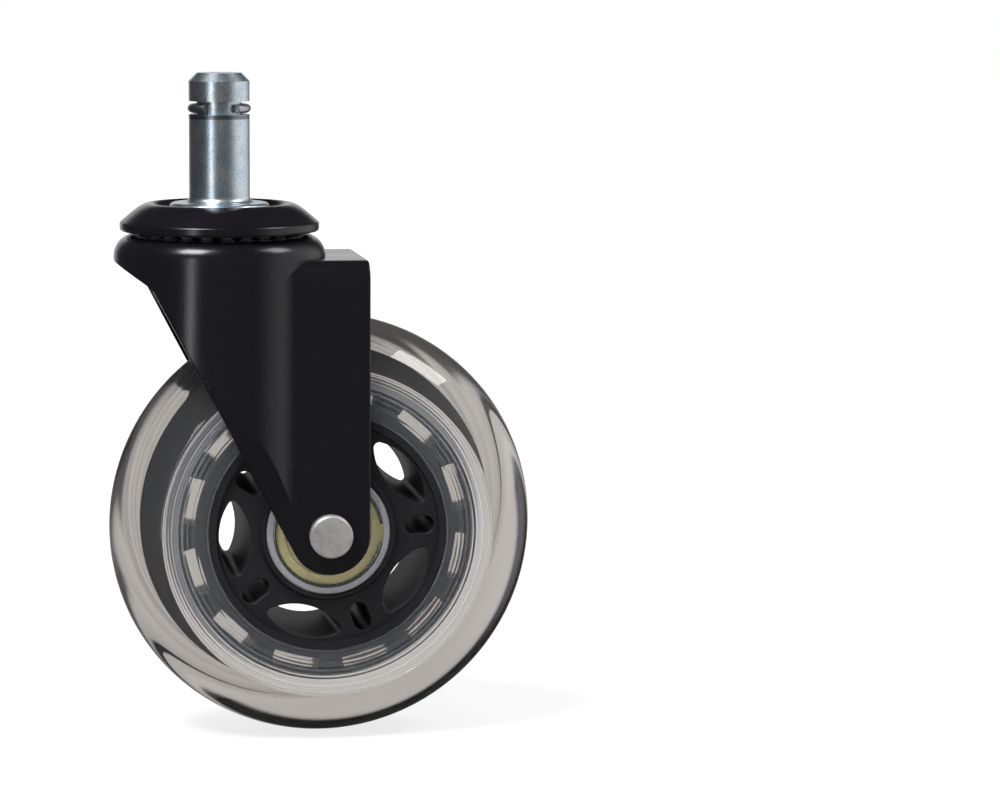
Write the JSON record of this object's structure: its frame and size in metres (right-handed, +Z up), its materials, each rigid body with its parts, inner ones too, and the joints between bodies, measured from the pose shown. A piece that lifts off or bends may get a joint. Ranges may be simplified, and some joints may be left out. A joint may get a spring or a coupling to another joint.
{
  "type": "chair caster wheel",
  "caption": "Swivel chair caster with a grip-ring stem, pressed steel fork and a clear tyred wheel on ball bearings.",
  "frame": {"origin": "on the stem's axis, at the upper face of its flange, which sits against the chair's base", "axes": "+Z up the stem, out of the caster; the wheel trails towards +X; the axle runs along Y; left is -Y, where the axle rivet is peened over, and right is +Y"},
  "size_m": [0.076, 0.0376, 0.1188],
  "materials": {
    "zinc_stem": "bright zinc plate, speckled",
    "spring_steel": "bright round wire",
    "black_paint": "semi-gloss black powder coat",
    "black_steel": "satin black",
    "ball_steel": "polished and greased",
    "zinc_rivet": "matt zinc plate",
    "black_spacer": "satin black",
    "race_steel": "ground steel",
    "cage_steel": "plain pressed steel",
    "gold_shield": "yellow zinc plate",
    "snap_wire": "plain spring wire",
    "black_nylon": "moulded, fine grain",
    "clear_tyre": "clear glossy cast polyurethane"
  },
  "bodies": {
    "stem": {"stem": "zinc_stem", "grip_ring": "spring_steel", "top_cap": "black_paint", "lower_race": "black_steel"},
    "fork": {"fork": "black_paint", "axle": "zinc_rivet", "side_spacer_left": "black_spacer", "side_spacer_right": "black_spacer", "centre_spacer": "black_spacer", "inner_race_left": "race_steel", "inner_race_right": "race_steel"},
    "wheel": {"hub": "black_nylon", "tyre": "clear_tyre", "outer_race_left": "race_steel", "outer_race_right": "race_steel", "shield_left_inner": "gold_shield", "shield_left_outer": "gold_shield", "shield_right_inner": "gold_shield", "shield_right_outer": "gold_shield", "snap_ring_left_inner": "snap_wire", "snap_ring_left_outer": "snap_wire", "snap_ring_right_inner": "snap_wire", "snap_ring_right_outer": "snap_wire"},
    "upper_ball_ring": {"upper_balls": "ball_steel"},
    "lower_ball_ring": {"lower_balls": "ball_steel"},
    "left_bearing_balls": {"bearing_balls_left": "ball_steel", "cage_left": "cage_steel"},
    "right_bearing_balls": {"bearing_balls_right": "ball_steel", "cage_right": "cage_steel"}
  },
  "joints": [
    {"name": "swivel", "type": "hinge", "parent": "stem", "child": "fork", "pos_m": [0, 0, -0.0095], "axis": [0, 0, 1], "continuous": true},
    {"name": "wheel_spin", "type": "hinge", "parent": "fork", "child": "wheel", "pos_m": [0.018, 0, -0.0579], "axis": [0, 1, 0], "continuous": true},
    {"name": "upper_balls_roll", "type": "hinge", "parent": "stem", "child": "upper_ball_ring", "pos_m": [0, 0, -0.004], "axis": [0, 0, 1], "continuous": true},
    {"name": "lower_balls_roll", "type": "hinge", "parent": "stem", "child": "lower_ball_ring", "pos_m": [0, 0, -0.009], "axis": [0, 0, 1], "continuous": true},
    {"name": "left_balls_roll", "type": "hinge", "parent": "fork", "child": "left_bearing_balls", "pos_m": [0.018, -0.0085, -0.0579], "axis": [0, 1, 0], "continuous": true},
    {"name": "right_balls_roll", "type": "hinge", "parent": "fork", "child": "right_bearing_balls", "pos_m": [0.018, 0.0085, -0.0579], "axis": [0, 1, 0], "continuous": true}
  ],
  "couplings": [
    {"joint": "upper_balls_roll", "follows": "swivel", "ratio": 0.5},
    {"joint": "lower_balls_roll", "follows": "swivel", "ratio": 0.5},
    {"joint": "left_balls_roll", "follows": "wheel_spin", "ratio": 0.6323},
    {"joint": "right_balls_roll", "follows": "wheel_spin", "ratio": 0.6323}
  ]
}
